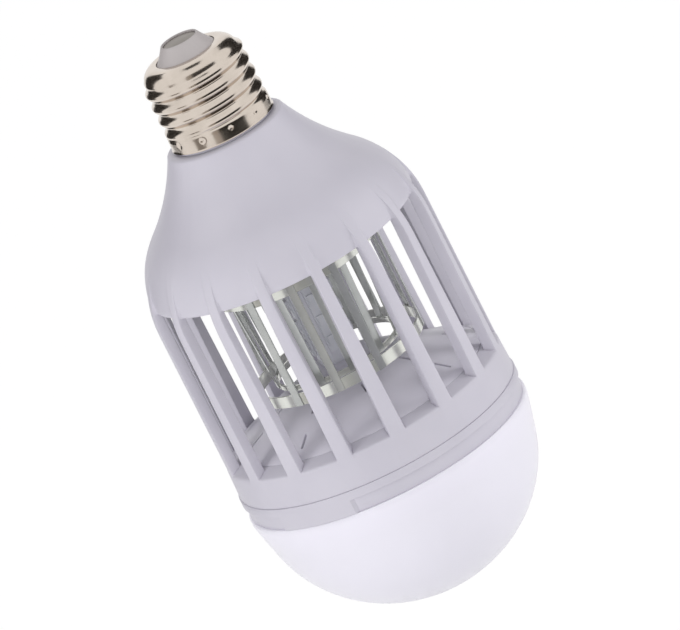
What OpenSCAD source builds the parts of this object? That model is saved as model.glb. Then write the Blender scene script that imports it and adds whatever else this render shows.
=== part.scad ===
// Insect killer light bulb: a screw cap, a bell shaped cage with sixteen slats round a
// two-ring electric grid and an ultraviolet post, and a white lamp with a domed diffuser.
// Millimetres. +Z is up, the cap is at the top, and the origin is the middle of the face
// of the end contact. A depth is a distance below that face, so it is drawn at minus Z.

/* [Screw cap] */
// Radius over the crests of the cap's round thread
crest_r = 13.2; // [12.6:0.1:13.4]
// Depth of the cap's thread, crest to root
thread_depth = 1.07; // [0.8:0.01:1.2]
// Pitch of the cap's thread
thread_pitch = 3.63; // [3.4:0.01:3.8]
// Depth of the first crest on the +X side
first_crest = 7.37; // [7.2:0.01:7.6]
// Thickness of the cap's sheet metal
cap_wall = 0.3; // [0.25:0.05:0.35]
// Height of the cap's metal shell
shell_h = 20.8; // [20.4:0.1:22]
// Radius of the rounded shoulder at the top of the shell
shell_round = 3.2; // [2.8:0.1:3.4]
// Width of the flat ring between the shoulder and the hole in the top of the shell
shell_flat = 1.08; // [0.8:0.02:1.3]
// Depth from the top of the shell to where the thread begins to rise
thread_start = 2.2; // [2:0.1:2.6]
// Height over which the thread rises at its top
thread_rise = 1.6; // [1.2:0.1:2]
// Height over which the thread fades out above the skirt
thread_fade = 1.5; // [1:0.1:1.8]
// Height of the plain skirt below the thread
skirt_h = 3.25; // [3:0.05:3.4]
// How far the edge of the skirt flares out
skirt_flare = 0.2; // [0.1:0.05:0.3]
// Height of the flared edge of the skirt
flare_h = 0.6; // [0.4:0.1:0.8]
// Number of dents that crimp the skirt to the neck
dent_count = 11; // [6:1:12]
// Radius of the punch that makes a dent
dent_r = 1.6; // [1.2:0.1:1.8]
// Depth of a dent
dent_depth = 0.35; // [0.2:0.05:0.4]
// Height of a dent's middle above the edge of the skirt
dent_h = 2.5; // [2.2:0.1:2.6]

/* [End contact and insulator] */
// Height of the insulator's cone above the shell
insulator_h = 4; // [3.4:0.1:4.6]
// How far the insulator's cone draws in from its foot to its top edge
insulator_taper = 2.85; // [2.6:0.05:3.2]
// Width of the insulator's shoulder that lies under the shell
insulator_land = 1; // [0.8:0.1:1.4]
// Width of the insulator's top edge round the end contact
contact_rim = 0.55; // [0.5:0.05:0.9]
// Thickness of the end contact
contact_t = 0.6; // [0.4:0.1:0.8]
// How far the end contact lies below the insulator's edge
contact_recess = 0.25; // [0.1:0.05:0.4]
// Radius of the end contact's stem
stem_r = 0.9; // [0.7:0.1:1.2]
// Length of the end contact's stem
stem_h = 2.6; // [2.2:0.1:3]
// Wall of the insulator round the stem and under the cone
insulator_wall = 1.3; // [1:0.1:1.5]

/* [Cage housing] */
// Radius of the cage over its slats
body_r = 36.9; // [36.2:0.1:38]
// Wall of the cage housing
wall = 2; // [1.6:0.1:2.2]
// Wall of the neck inside the cap
neck_wall = 1.5; // [1.2:0.1:1.8]
// Space between the neck and the top of the cap's shell
neck_drop = 4.8; // [4.6:0.1:5.2]
// Width of the housing's top face beyond the crests of the cap's thread
collar_top_w = 0.6; // [0.4:0.1:1]
// Width of the rounded edge between the top face and the bell
collar_w = 1.8; // [1.4:0.1:2.2]
// Height of the rounded edge between the top face and the bell
collar_h = 1.4; // [1:0.1:1.6]
// Radius of the bell's outward curve
bell_round = 27.4; // [26:0.1:29]
// Steepness of the bell where its two curves meet
bell_angle = 47; // [45:1:49]
// Steepness of the bell where the slats rise out of it
ridge_angle = 35.7; // [32:0.1:38]
// Height of the top of the windows above where the bell stands upright
window_rise = 5.3; // [4.8:0.1:5.8]
// Height of the windows between the slats
window_h = 44.8; // [42:0.1:48]
// Number of slats
slat_count = 16; // [12:1:20]
// Width of a slat at the top of the windows
slat_top_w = 2.9; // [2.4:0.1:3.4]
// Width of a slat at the bottom of the windows
slat_foot_w = 4.3; // [3.6:0.1:4.8]
// Thickness of a slat along the radius
slat_t = 2.8; // [2.2:0.1:3.2]
// Height of the band below the windows
band_h = 8.2; // [7.4:0.1:9]
// How much the band widens down to its lower edge
band_flare = 0.25; // [0.1:0.05:0.4]
// Width of the ledge on top of the band
ledge_w = 3.9; // [3.7:0.1:4.5]
// Thickness of the ledge at its inner edge
ledge_t = 2.2; // [2:0.1:2.6]

/* [Chamber] */
// Rise of the chamber floor's cone for each millimetre towards the middle
floor_slope = 0.44; // [0.3:0.01:0.46]
// Thickness of the chamber floor
floor_t = 1.9; // [1.6:0.1:2.2]
// Thickness of the flange that seats the floor under the ledge
flange_t = 1.5; // [1.2:0.1:1.8]
// Radius of the flat hub in the middle of the floor
hub_r = 7.3; // [6.8:0.1:8]
// Number of pairs of slits in the floor
slit_pairs = 8; // [4:1:12]
// Width of a slit
slit_w = 0.8; // [0.5:0.1:1.2]
// Distance from the ledge to where the outer slits begin
outer_slit_in = 7.9; // [7:0.1:9]
// Length of the outer slits
outer_slit_len = 4.4; // [3:0.1:5]
// Distance between the beginnings of the outer and the inner slits
slit_step = 9.1; // [8.2:0.1:10]
// Length of the inner slits
inner_slit_len = 3.5; // [2.5:0.1:4.5]
// Height of the chamber's ceiling above the top of the windows
ceiling_rise = 5.75; // [5:0.05:6.5]
// Thickness of the ceiling
ceiling_t = 2; // [1.6:0.1:2.4]
// Gap between the ceiling and the housing round it
ceiling_gap = 0.35; // [0.25:0.05:1.5]

/* [Electric grid] */
// Distance from the outside of the slats to the outer grid's rings
grid_reach = 14.8; // [13.9:0.1:15.5]
// Wall of the rings
ring_wall = 0.6; // [0.4:0.1:0.8]
// Height of the outer grid's top ring
top_ring_h = 9.75; // [8:0.05:10.5]
// Height of the outer grid's bottom ring
bottom_ring_h = 3.1; // [2.5:0.1:3.6]
// Number of bars in each grid, those of the outer one in front of the inner one's gaps
grid_bars = 12; // [8:1:16]
// Width of a bar
bar_w = 2.1; // [1.6:0.1:2.8]
// Thickness of a bar
bar_t = 0.4; // [0.3:0.1:0.6]
// Height of the gap between the bottom of the windows and the foot of the outer grid
grid_lift = 11.3; // [10.4:0.1:12]
// Step from the outer grid's rings to the inner grid's top ring
grid_gap = 3.7; // [3.3:0.1:4.5]
// How far the inner grid draws in towards its foot
inner_taper = 1.9; // [1.2:0.1:2.8]
// Height of the inner grid's top ring
inner_top_h = 5.8; // [5:0.1:7]
// Height of the inner grid's bottom ring
inner_foot_h = 1.5; // [1.2:0.1:2.4]
// Height of the bosses on the ceiling that carry the grids
boss_h = 4.8; // [4:0.1:5.2]
// Wall of those bosses
boss_wall = 1.6; // [1.2:0.1:2]

/* [Ultraviolet post] */
// Distance from the post's middle to its flat sides
post_flat = 4.7; // [4.5:0.1:5]
// Number of flat sides on the post
post_sides = 8; // [8:4:12]
// Radius of the bore that the wires run in
post_bore_r = 3; // [2.6:0.1:3.2]
// Width of the shoulder between the post and its threaded ends
post_shoulder = 0.5; // [0.4:0.1:0.9]
// Length of the threaded ends beyond the nuts
post_end_spare = 1.2; // [0.8:0.1:1.6]
// Height of the nuts on the post
nut_h = 2; // [1.6:0.1:2.4]
// Width of a nut from its thread to its corners
nut_w = 2.8; // [2.2:0.1:3]
// Width of an ultraviolet strip board
strip_w = 3.4; // [2.8:0.1:3.6]
// Thickness of a strip board
strip_t = 0.8; // [0.6:0.1:1.2]
// Space between a strip board and the chamber's floor and ceiling
strip_gap = 3.3; // [2.3:0.1:4.8]
// Number of strip boards
strip_count = 4; // [2:2:4]
// Number of emitters on a strip board
emitters_per_strip = 5; // [3:1:6]
// Side of an emitter
emitter_w = 2.6; // [2:0.1:2.7]
// Height of an emitter above its board
emitter_t = 0.8; // [0.6:0.1:1.2]

/* [Lamp] */
// Height of the lamp ring's outside
ring_h = 6; // [5.6:0.1:7]
// How far the lamp ring stands out beyond the slats
ring_proud = 0.55; // [0.4:0.05:0.9]
// Wall of the lamp ring
ring_t = 2.3; // [2.1:0.05:2.5]
// Height of the plain edge above the lamp ring's groove
ring_edge_h = 2.3; // [1.8:0.1:2.6]
// Depth of the lamp ring's groove
groove_depth = 0.5; // [0.3:0.1:0.7]
// Width of the lands that interrupt the groove
land_angle = 35.6; // [20:0.1:60]
// Direction of the first land
land_at = 45; // [0:1:180]
// Wall of the lamp ring's spigot inside the band
spigot_wall = 1.8; // [1.6:0.1:2]
// Height of the lamp board's seat below the ring's upper edge
seat_drop = 2.25; // [2:0.05:2.6]
// Width of the shelf that the lamp board lies against
shelf_w = 4.15; // [3.8:0.05:5]
// Thickness of that shelf
shelf_t = 1.6; // [1.2:0.1:2]
// Thickness of the circuit boards
board_t = 1.6; // [1:0.1:1.8]
// Radius of the wire hole in the lamp board
board_hole_r = 2.5; // [2:0.1:3]
// Number of white emitters in the outer ring
outer_white = 12; // [8:1:16]
// Number of white emitters in the inner ring
inner_white = 6; // [4:1:8]
// Distance from the lamp board's edge to the outer ring of white emitters
outer_white_in = 10.95; // [9:0.05:13]
// Step from the outer to the inner ring of white emitters
white_step = 12; // [10:0.5:14]
// Length of a white emitter
white_len = 3.5; // [2.8:0.1:4]
// Width of a white emitter
white_w = 2.8; // [2:0.1:3]
// Height of a white emitter above its board
white_t = 0.7; // [0.5:0.1:1]

/* [Diffuser] */
// How far the diffuser's lip stands back from the lamp ring
lip_back = 0.05; // [0:0.05:0.2]
// Height of the diffuser's lip
lip_h = 3; // [2.6:0.1:3.6]
// Step from the lip to the dome
dome_step = 1.2; // [0.8:0.1:1.8]
// Height of the dome
dome_h = 34.2; // [30:0.1:37]
// Wall of the diffuser
dome_wall = 1.5; // [1.2:0.1:1.6]

/* [Driver] */
// Gap between the driver board and the bell round it
driver_gap = 1.78; // [1.6:0.02:2.6]
// Height of the driver board above the ceiling
driver_lift = 6.85; // [6:0.05:7.4]
// Radius of the bulk capacitor
bulk_r = 4.2; // [3.6:0.1:4.6]
// Height of the bulk capacitor
bulk_h = 16; // [15.5:0.1:17]
// Space between the bulk capacitor and the housing's collar
bulk_gap = 1.8; // [1.4:0.1:2.4]
// Width of the transformer's core
core_w = 11; // [10:0.5:12]
// Depth of the transformer's core
core_d = 8; // [7:0.5:9]
// Height of the transformer's core
core_h = 10.6; // [9:0.1:11]
// Thickness of the transformer's yokes and middle limb
yoke_t = 2; // [1.6:0.1:2.2]
// How far the winding stands out of the core's faces
coil_bulge = 1; // [0.6:0.1:1.4]
// Length of the film capacitor
film_len = 10; // [8:0.5:11]
// Thickness of the film capacitor
film_t = 4; // [3.4:0.1:4.6]
// Height of the film capacitor
film_h = 9; // [7:0.5:9.5]
// Length of the fuse resistor
fuse_len = 8; // [6.5:0.5:9]
// Radius of the fuse resistor
fuse_r = 1.5; // [1.2:0.1:1.7]
// Length of the rectifier
rectifier_len = 5; // [4:0.1:5.2]
// Width of the rectifier
rectifier_w = 4; // [3.4:0.1:4.2]
// Height of the rectifier
rectifier_h = 2.5; // [2:0.1:2.8]
// Length of the driver chip
chip_len = 4.4; // [4:0.1:5]
// Width of the driver chip
chip_w = 3.6; // [3.2:0.1:4]
// Height of the driver chip
chip_h = 1.5; // [1.2:0.1:1.8]
// Radius of a high voltage disc capacitor
disc_r = 2.4; // [2:0.1:2.6]
// Thickness of a disc capacitor
disc_t = 2; // [1.6:0.1:2.2]
// Length of a high voltage diode
diode_len = 4.4; // [3.8:0.1:4.8]
// Radius of a high voltage diode
diode_r = 1.2; // [1:0.1:1.3]
// Radius of the wires
wire_r = 0.5; // [0.4:0.05:0.6]

/* [Screws] */
// Radius of the screws' shanks
screw_r = 1.1; // [0.9:0.05:1.2]
// Radius of the screws' heads
head_r = 1.9; // [1.7:0.05:2]
// Height of the screws' heads
head_h = 1.3; // [1:0.1:1.5]
// Wall of the plastic round a screw
screw_wall = 1.3; // [1.1:0.1:1.4]
// Length of a screw below its head
screw_len = 6; // [5:0.1:6.4]
// Distance from the ceiling's edge to its screws
ceiling_screw_in = 4.8; // [4.2:0.1:5]
// Distance from the driver board's edge to its screws
driver_screw_in = 3.5; // [3:0.1:4]
// Distance from the lamp board's edge to its screws
lamp_screw_in = 4.05; // [3.95:0.05:4.5]

/* [Hidden] */
$fn = 96;

// Clearances: between pieces that slip together, and a little overlap inside one piece
slip = 0.1;
fuse = 0.05;
// Extra length that takes a cut right through
through = 1;
// How far a bar sinks into the ring that it stands on
bar_sink = 0.1;
// Distance of each lamp lead from the middle of the post
lamp_lead_r = 1.1;
// How far the threaded sleeve laps the skirt, and the neck's wide foot stands above it
sleeve_lap = 0.15;
foot_lap = 0.4;
// Depth above the skirt at which the thread has faded out
thread_end = 0.2;
// Points along the curves of a turned outline
curve_steps = 12;
edge_steps = 5;
// Sides and rows of the threaded part of the cap
thread_sides = 40;
thread_rows = 30;
shoulder_rows = 6;

// Depths of the faces where one piece ends and the next begins, from the top down
tip_d = -contact_recess;
shell_d = tip_d + insulator_h;
rim_d = shell_d + shell_h;
skirt_d = rim_d - skirt_h;
neck_d = shell_d + neck_drop;
dent_d = rim_d - dent_h;
bell_d = rim_d + collar_h;
driver_top_d = bell_d + bulk_gap + bulk_h;
driver_d = driver_top_d + board_t;
ceiling_d = driver_d + driver_lift;
chamber_d = ceiling_d + ceiling_t;
window_d = ceiling_d + ceiling_rise;
upright_d = window_d + window_rise;
sill_d = window_d + window_h;
band_d = sill_d + band_h;
ring_d = band_d + ring_h;
dome_d = ring_d + lip_h;
grid_foot_d = sill_d - grid_lift;

// Radii of the cap's thread and of the neck inside it
root_r = crest_r - thread_depth;
shell_hole_r = root_r - shell_round - shell_flat;
throat_r = shell_hole_r - slip;
insulator_top_r = throat_r - insulator_taper;
contact_r = insulator_top_r - contact_rim;
neck_r = root_r - cap_wall - slip;
skirt_r = crest_r + fuse;
skirt_bore_r = crest_r - cap_wall - fuse;
neck_foot_r = skirt_bore_r - slip;
neck_bore_r = neck_r - neck_wall;
neck_foot_h = skirt_h + foot_lap;
crimp_groove = dent_depth + cap_wall;
collar_top_r = crest_r + collar_top_w;
collar_r = collar_top_r + collar_w;
// The thread rises out of the shoulder and sinks into the skirt over these depths
thread_in = [shell_d + thread_start, shell_d + thread_start + thread_rise];
thread_out = [skirt_d - thread_end - thread_fade, skirt_d - thread_end];
// A dent looks to the front, where the first slat is
front = -90;

// The bell's outward curve has its middle at bell_c, and its inward curve at waist_c
bell_c = [body_r - bell_round, -upright_d];
bell_join = bell_c + bell_round * [cos(bell_angle), sin(bell_angle)];
waist_chord = [bell_join[0] - collar_r, -bell_d - bell_join[1]];
waist_turn = bell_angle - atan2(waist_chord[0], waist_chord[1]);
waist_round = norm(waist_chord) / (2 * sin(waist_turn));
waist_c = bell_join + waist_round * [cos(bell_angle), sin(bell_angle)];
// Between the slats the shell turns in early, round shell_c, and is upright at the windows
ridge_start = bell_c + bell_round * [cos(ridge_angle), sin(ridge_angle)];
shell_curve = (window_d + ridge_start[1]) / sin(ridge_angle);
shell_c = ridge_start - shell_curve * [cos(ridge_angle), sin(ridge_angle)];

// The chamber floor and the ledge lie on one cone
ledge_r = body_r - ledge_w;
ledge_d = sill_d - (ledge_w - slip) * floor_slope;
flange_d = ledge_d + ledge_t;
spigot_d = flange_d + flange_t;
slat_foot_d = (sill_d + flange_d) / 2;
hub_d = floor_cone_d(hub_r);
band_bore_r = body_r - wall;
spigot_r = band_bore_r - 2 * slip;
outer_slit_r = ledge_r - outer_slit_in;
inner_slit_r = outer_slit_r - slit_step;
ceiling_r = shell_bore(ceiling_d) - ceiling_gap;

// The two grids, and the post in the middle of them
outer_ring_r = body_r - grid_reach;
inner_top_r = outer_ring_r - grid_gap;
inner_foot_r = inner_top_r - inner_taper;
post_end_r = post_flat - post_shoulder;
nut_r = post_end_r + nut_w;
strip_d = chamber_d + strip_gap;
strip_len = hub_d - strip_gap - strip_d;

// Lamp
ring_r = body_r + ring_proud;
ring_bore_r = ring_r - ring_t;
shelf_r = ring_bore_r - shelf_w;
lip_r = ring_r - lip_back;
dome_r = lip_r - dome_step;
seat_d = band_d + seat_drop;
lamp_board_r = ring_bore_r - 2 * slip;
lamp_face_d = seat_d + board_t;
outer_white_r = lamp_board_r - outer_white_in;
inner_white_r = outer_white_r - white_step;
groove_r = ring_r - groove_depth;
groove_d = band_d + ring_edge_h;

// Screws and their bosses
driver_r = bell_bore(driver_top_d) - driver_gap;
ceiling_screws_r = ceiling_r - ceiling_screw_in;
driver_screws_r = driver_r - driver_screw_in;
lamp_screws_r = lamp_board_r - lamp_screw_in;
boss_r = screw_r + screw_wall;
pilot_r = screw_r + fuse;
screw_count = 3;
ceiling_screw_turn = 30;
driver_screw_turn = 90;
lamp_screw_turn = 15;

// Places on the driver board, as [x, y] from its middle in shares of its radius
bulk_at = [0, 0.33];
core_at = [0, -0.36];
film_at = [0.45, 0.1];
fuse_at = [-0.5, 0];
rectifier_at = [0.47, -0.63];
chip_at = [-0.47, -0.63];
disc_at = [[-0.36, 0.56], [-0.5, 0.36]];
diode_at = [[0.34, 0.56], [0.5, 0.56], [0.66, 0.4]];
// The transformer's winding fills the windows of its core
core_gap = (core_w - 3 * yoke_t) / 2;
coil_r = yoke_t / 2 + core_gap - slip;
// Direction of the neutral lead, which hugs the bore of the neck
neutral_turn = 150;

plastic = [0.82, 0.81, 0.85];
opal = [0.93, 0.92, 0.95];
nickel = [0.80, 0.76, 0.71];
steel = [0.76, 0.79, 0.77];

function flip(outline) = [for (p = outline) [p[0], -p[1]]];
function arc(c, r, from, to) = [
    for (i = [0:curve_steps]) let (a = from + (to - from) * i / curve_steps)
        c + r * [cos(a), sin(a)]
];
function backwards(list) = [for (i = [len(list) - 1:-1:0]) list[i]];
function smooth(edge, x) =
    let (t = min(1, max(0, (x - edge[0]) / (edge[1] - edge[0])))) t * t * (3 - 2 * t);
function floor_cone_d(r) = ledge_d - (ledge_r - r) * floor_slope;
// Inner radius of the housing at a depth in the bell, and in the shell between the slats
function bell_bore(d) = d > -bell_join[1]
    ? bell_c[0] + sqrt(pow(bell_round - wall, 2) - pow(upright_d - d, 2))
    : waist_c[0] - sqrt(pow(waist_round + wall, 2) - pow(d + waist_c[1], 2));
function shell_bore(d) = shell_c[0] + sqrt(pow(shell_curve - wall, 2) - pow(window_d - d, 2));

// Outline of the bell from the collar to the windows, moved inwards by inset
function bell_waist(inset) =
    arc(waist_c, -(waist_round + inset), bell_angle - 2 * waist_turn, bell_angle);
function bell_shell(inset) = concat(
    bell_waist(inset),
    arc(bell_c, bell_round - inset, bell_angle, ridge_angle),
    arc(shell_c, shell_curve - inset, ridge_angle, 0)
);

module turned(outline) {
    rotate_extrude() polygon(outline);
}

// A tube between two depths
module tube(outer, inner, top, bottom) {
    translate([0, 0, -bottom])
        difference() {
            cylinder(r = outer, h = bottom - top);
            translate([0, 0, -through]) cylinder(r = inner, h = bottom - top + 2 * through);
        }
}

module rod(r, top, bottom) {
    translate([0, 0, -bottom]) cylinder(r = r, h = bottom - top);
}

module box(size, top, bottom) {
    translate([-size[0] / 2, -size[1] / 2, -bottom]) cube([size[0], size[1], bottom - top]);
}

// Puts the children at a place on the driver board
module place(at) {
    translate([at[0] * driver_r, at[1] * driver_r, 0]) children();
}

// Copies of the children round the axis at radius r
module around(count, r, turn = 0) {
    for (i = [0:count - 1]) rotate([0, 0, turn + i * 360 / count]) translate([r, 0, 0]) children();
}

// Cap: rows of the sheet's outside, each with its depth and its share of the thread
function thread_lift(d, a) =
    let (wave = (1 + cos(360 * (d - first_crest) / thread_pitch + a)) / 2,
         rise = wave * smooth(thread_in, d))
    thread_depth * (rise + (1 - rise) * smooth(thread_out, d));
function cap_side(a, inset) =
    let (c = [root_r - shell_round, shell_d + shell_round])
    concat(
        [[shell_hole_r, shell_d + inset]],
        [for (i = [0:shoulder_rows - 1]) let (t = 90 * (1 - i / shoulder_rows))
            c + (shell_round - inset) * [cos(t), -sin(t)]],
        [for (i = [0:thread_rows]) let (d = c[1] + (skirt_d + sleeve_lap - c[1]) * i / thread_rows)
            [root_r - inset + thread_lift(d, a), d]]
    );
function cap_loop(a) = concat(cap_side(a, 0), backwards(cap_side(a, cap_wall)));

module thread_sleeve() {
    loop_len = len(cap_loop(0));
    points = [
        for (j = [0:thread_sides - 1]) let (a = 360 * j / thread_sides)
            for (p = cap_loop(a)) [p[0] * cos(a), p[0] * sin(a), -p[1]]
    ];
    faces = [
        for (j = [0:thread_sides - 1], i = [0:loop_len - 1])
            let (here = j * loop_len, next = (j + 1) % thread_sides * loop_len,
                 k = (i + 1) % loop_len)
            each [[here + i, next + i, next + k], [here + i, next + k, here + k]]
    ];
    polyhedron(points, faces);
}

module dents(r) {
    around(dent_count, skirt_r + dent_r - dent_depth, front)
        translate([0, 0, -dent_d]) sphere(r = r);
}

module cap_shell() {
    color(nickel) {
        thread_sleeve();
        difference() {
            union() {
                turned(flip([
                    [skirt_bore_r, skirt_d], [skirt_r, skirt_d],
                    [skirt_r, rim_d - flare_h], [skirt_r + skirt_flare, rim_d],
                    [skirt_bore_r + skirt_flare, rim_d], [skirt_bore_r, rim_d - flare_h]
                ]));
                intersection() {
                    dents(dent_r + cap_wall);
                    rod(crest_r - cap_wall / 2, skirt_d, rim_d);
                }
            }
            dents(dent_r);
        }
    }
}

module cap_insulator() {
    seat_r = contact_r + slip;
    under_d = shell_d + cap_wall;
    flange_r = neck_r - 2 * cap_wall;
    step_d = under_d + insulator_wall;
    color([0.75, 0.73, 0.72])
        turned(flip([
            [stem_r + fuse, contact_t], [seat_r, contact_t], [seat_r, tip_d],
            [insulator_top_r, tip_d], [throat_r, shell_d], [throat_r, under_d],
            [throat_r + insulator_land, under_d], [throat_r + insulator_land, step_d],
            [flange_r, step_d],
            [flange_r, neck_d], [neck_bore_r, neck_d], [neck_bore_r, step_d + insulator_wall],
            [throat_r - insulator_wall, step_d],
            [seat_r - insulator_wall / 2, contact_t + insulator_wall],
            [stem_r + fuse, contact_t + insulator_wall]
        ]));
}

module end_contact() {
    color([0.62, 0.60, 0.58]) {
        rod(contact_r, 0, contact_t);
        rod(stem_r, contact_t - fuse, contact_t + stem_h);
    }
}

// Cage housing: neck, bell, slats and band, one moulding
function collar_edge() = [
    for (i = [0:edge_steps - 1]) let (a = 90 * i / edge_steps)
        [collar_top_r + collar_w * sin(a), -rim_d - collar_h * (1 - cos(a))]
];

module slat() {
    top_d = -ridge_start[1] - wall;
    narrow = slat_top_w - (slat_foot_w - slat_top_w) * (window_d - top_d) / window_h;
    rotate([90, 0, 90])
        linear_extrude(height = body_r + band_flare)
            polygon([
                [-narrow / 2, -top_d], [narrow / 2, -top_d],
                [slat_foot_w / 2, -slat_foot_d], [-slat_foot_w / 2, -slat_foot_d]
            ]);
}

module slats() {
    inner = body_r - slat_t;
    intersection() {
        turned(concat(
            arc(bell_c, bell_round, ridge_angle, 0),
            [[body_r, -slat_foot_d], [inner, -slat_foot_d], [inner, -window_d]],
            backwards(arc(shell_c, shell_curve - wall / 2, ridge_angle, 0))
        ));
        around(slat_count, 0, front) slat();
    }
}

module ceiling_bosses() {
    intersection() {
        around(screw_count, ceiling_screws_r, ceiling_screw_turn)
            rod(boss_r, driver_d - screw_len, ceiling_d);
        turned(concat([[0, -bell_d]], bell_shell(wall / 2), [[0, -window_d]]));
    }
}

module cage_housing() {
    outside = bell_shell(0);
    inside = backwards(bell_shell(wall));
    color(plastic)
        difference() {
            union() {
                turned(concat(
                    flip([
                        [neck_bore_r, neck_d], [neck_r, neck_d],
                        [neck_r, rim_d - neck_foot_h], [neck_foot_r, rim_d - neck_foot_h],
                        [neck_foot_r, dent_d - dent_r], [neck_foot_r - crimp_groove, dent_d - dent_r],
                        [neck_foot_r - crimp_groove, dent_d + dent_r], [neck_foot_r, dent_d + dent_r],
                        [neck_foot_r, rim_d]
                    ]),
                    collar_edge(),
                    outside, inside,
                    [[neck_bore_r, inside[len(inside) - 1][1]]]
                ));
                slats();
                ceiling_bosses();
                turned(flip([
                    [ledge_r, ledge_d], [body_r - slip, sill_d], [body_r, sill_d + slip],
                    [body_r + band_flare, band_d], [band_bore_r, band_d],
                    [band_bore_r, flange_d], [ledge_r, flange_d]
                ]));
            }
            around(screw_count, ceiling_screws_r, ceiling_screw_turn)
                rod(pilot_r, ceiling_d - screw_len + ceiling_t, ceiling_d + through);
        }
}

// Chamber ceiling: plate with the bosses of the grids, pillars for the driver board
module chamber_ceiling() {
    color(plastic)
        difference() {
            union() {
                rod(ceiling_r, ceiling_d, chamber_d);
                tube(outer_ring_r - ring_wall, outer_ring_r - ring_wall - boss_wall,
                     chamber_d - fuse, chamber_d + boss_h);
                tube(inner_top_r - ring_wall, inner_top_r - ring_wall - boss_wall,
                     chamber_d - fuse, chamber_d + boss_h);
                around(screw_count, driver_screws_r, driver_screw_turn)
                    rod(boss_r, driver_d, ceiling_d + fuse);
            }
            rod(post_end_r + slip, ceiling_d - through, chamber_d + through);
            around(screw_count, ceiling_screws_r, ceiling_screw_turn)
                rod(screw_r + slip, ceiling_d - through, chamber_d + through);
            around(screw_count, driver_screws_r, driver_screw_turn)
                rod(pilot_r, driver_d - through, driver_d + screw_len);
            around(1, outer_ring_r - ring_wall / 2)
                rod(wire_r + slip, ceiling_d - through, chamber_d + boss_h + through);
            around(1, inner_top_r - ring_wall / 2, 180)
                rod(wire_r + slip, ceiling_d - through, chamber_d + boss_h + through);
        }
}

module slits(r, length) {
    around(slit_pairs, r, front)
        translate([0, -slit_w / 2, -flange_d]) cube([length, slit_w, flange_d - hub_d]);
}

module chamber_floor() {
    edge_r = ledge_r - slip;
    flange_r = band_bore_r - 2 * slip;
    skirt_r = edge_r - floor_t;
    color(plastic)
        difference() {
            turned(flip([
                [post_end_r + slip, hub_d], [hub_r, hub_d], [edge_r, floor_cone_d(edge_r)],
                [edge_r, flange_d], [flange_r, flange_d], [flange_r, spigot_d],
                [skirt_r, spigot_d], [skirt_r, floor_cone_d(skirt_r) + floor_t],
                [hub_r, hub_d + floor_t], [post_end_r + slip, hub_d + floor_t]
            ]));
            slits(outer_slit_r, outer_slit_len);
            slits(inner_slit_r, inner_slit_len);
        }
}

// Electric grid: two cages of upright bars, one inside the other
module outer_grid() {
    color(steel) {
        tube(outer_ring_r, outer_ring_r - ring_wall, chamber_d, chamber_d + top_ring_h);
        tube(outer_ring_r, outer_ring_r - ring_wall, grid_foot_d - bottom_ring_h, grid_foot_d);
        around(grid_bars, outer_ring_r + bar_t / 2 - bar_sink, front + 180 / grid_bars)
            box([bar_t, bar_w], chamber_d, grid_foot_d);
    }
}

module inner_grid() {
    foot_d = grid_foot_d - bottom_ring_h + inner_foot_h;
    height = foot_d - chamber_d - ring_wall;
    lean = atan2(inner_top_r - inner_foot_r, height);
    color(steel) {
        tube(inner_top_r, inner_top_r - ring_wall, chamber_d, chamber_d + inner_top_h);
        tube(inner_foot_r, inner_foot_r - ring_wall, foot_d - inner_foot_h, foot_d);
        around(grid_bars, inner_top_r + bar_t / 2 - bar_sink, front)
            translate([0, 0, -chamber_d - ring_wall / 2])
                rotate([0, lean, 0])
                    box([bar_t, bar_w], 0, height);
    }
}

// Ultraviolet post with its nuts, strip boards and emitters
module uv_post() {
    corner_r = post_flat / cos(180 / post_sides);
    end_len = nut_h + post_end_spare;
    color(plastic)
        difference() {
            union() {
                translate([0, 0, -hub_d])
                    rotate([0, 0, 180 / post_sides])
                        cylinder(r = corner_r, h = hub_d - chamber_d, $fn = post_sides);
                rod(post_end_r, ceiling_d - end_len, chamber_d + fuse);
                rod(post_end_r, hub_d - fuse, hub_d + floor_t + end_len);
            }
            rod(post_bore_r, ceiling_d - end_len - through, hub_d + floor_t + end_len + through);
        }
}

module post_nut(top) {
    difference() {
        translate([0, 0, -top - nut_h]) cylinder(r = nut_r, h = nut_h, $fn = 6);
        rod(post_end_r, top - through, top + nut_h + through);
    }
}

module post_nuts() {
    color([0.7, 0.7, 0.72]) {
        post_nut(ceiling_d - nut_h);
        post_nut(hub_d + floor_t);
    }
}

module uv_boards() {
    color([0.85, 0.86, 0.84])
        around(strip_count, post_flat + strip_t / 2)
            box([strip_t, strip_w], strip_d, strip_d + strip_len);
}

module uv_emitters() {
    pitch = strip_len / emitters_per_strip;
    color([0.93, 0.88, 0.55])
        around(strip_count, post_flat + strip_t + emitter_t / 2)
            for (i = [0:emitters_per_strip - 1])
                translate([0, 0, -strip_d - (i + 0.5) * pitch - emitter_w / 2])
                    box([emitter_t, emitter_w], -emitter_w, 0);
}

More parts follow.
